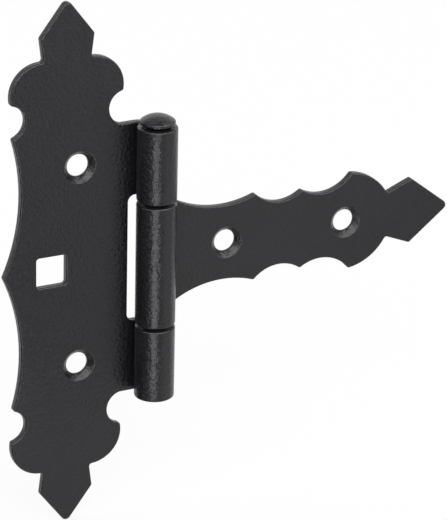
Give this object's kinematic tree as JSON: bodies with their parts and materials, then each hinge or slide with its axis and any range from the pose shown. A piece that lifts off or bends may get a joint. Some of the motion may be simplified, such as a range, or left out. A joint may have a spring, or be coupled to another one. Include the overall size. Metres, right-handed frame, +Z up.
{
  "type": "ornamental T hinge",
  "caption": "Ornamental strap hinge: a tall shaped post leaf and a pointed strap leaf that swings on a headed pin.",
  "frame": {"origin": "on the back of the post leaf, halfway between its two screw holes", "axes": "+X along the strap away from the post leaf, +Y into the post or door that the hinge is fixed to, +Z up along the pin towards its head; the fronts of both leaves face -Y"},
  "size_m": [0.1475, 0.0141, 0.1636],
  "materials": {
    "black_coat": "fine-textured black powder coat",
    "pin_coat": "black powder coat over the head and shank"
  },
  "bodies": {
    "post": {"post_leaf": "black_coat", "hinge_pin": "pin_coat"},
    "strap": {"strap_leaf": "black_coat"}
  },
  "joints": [
    {"name": "strap_swing", "type": "hinge", "parent": "post", "child": "strap", "pos_m": [0.022, -0.0081, 0], "axis": [0, 0, 1], "range_deg": [-180, 60]}
  ]
}
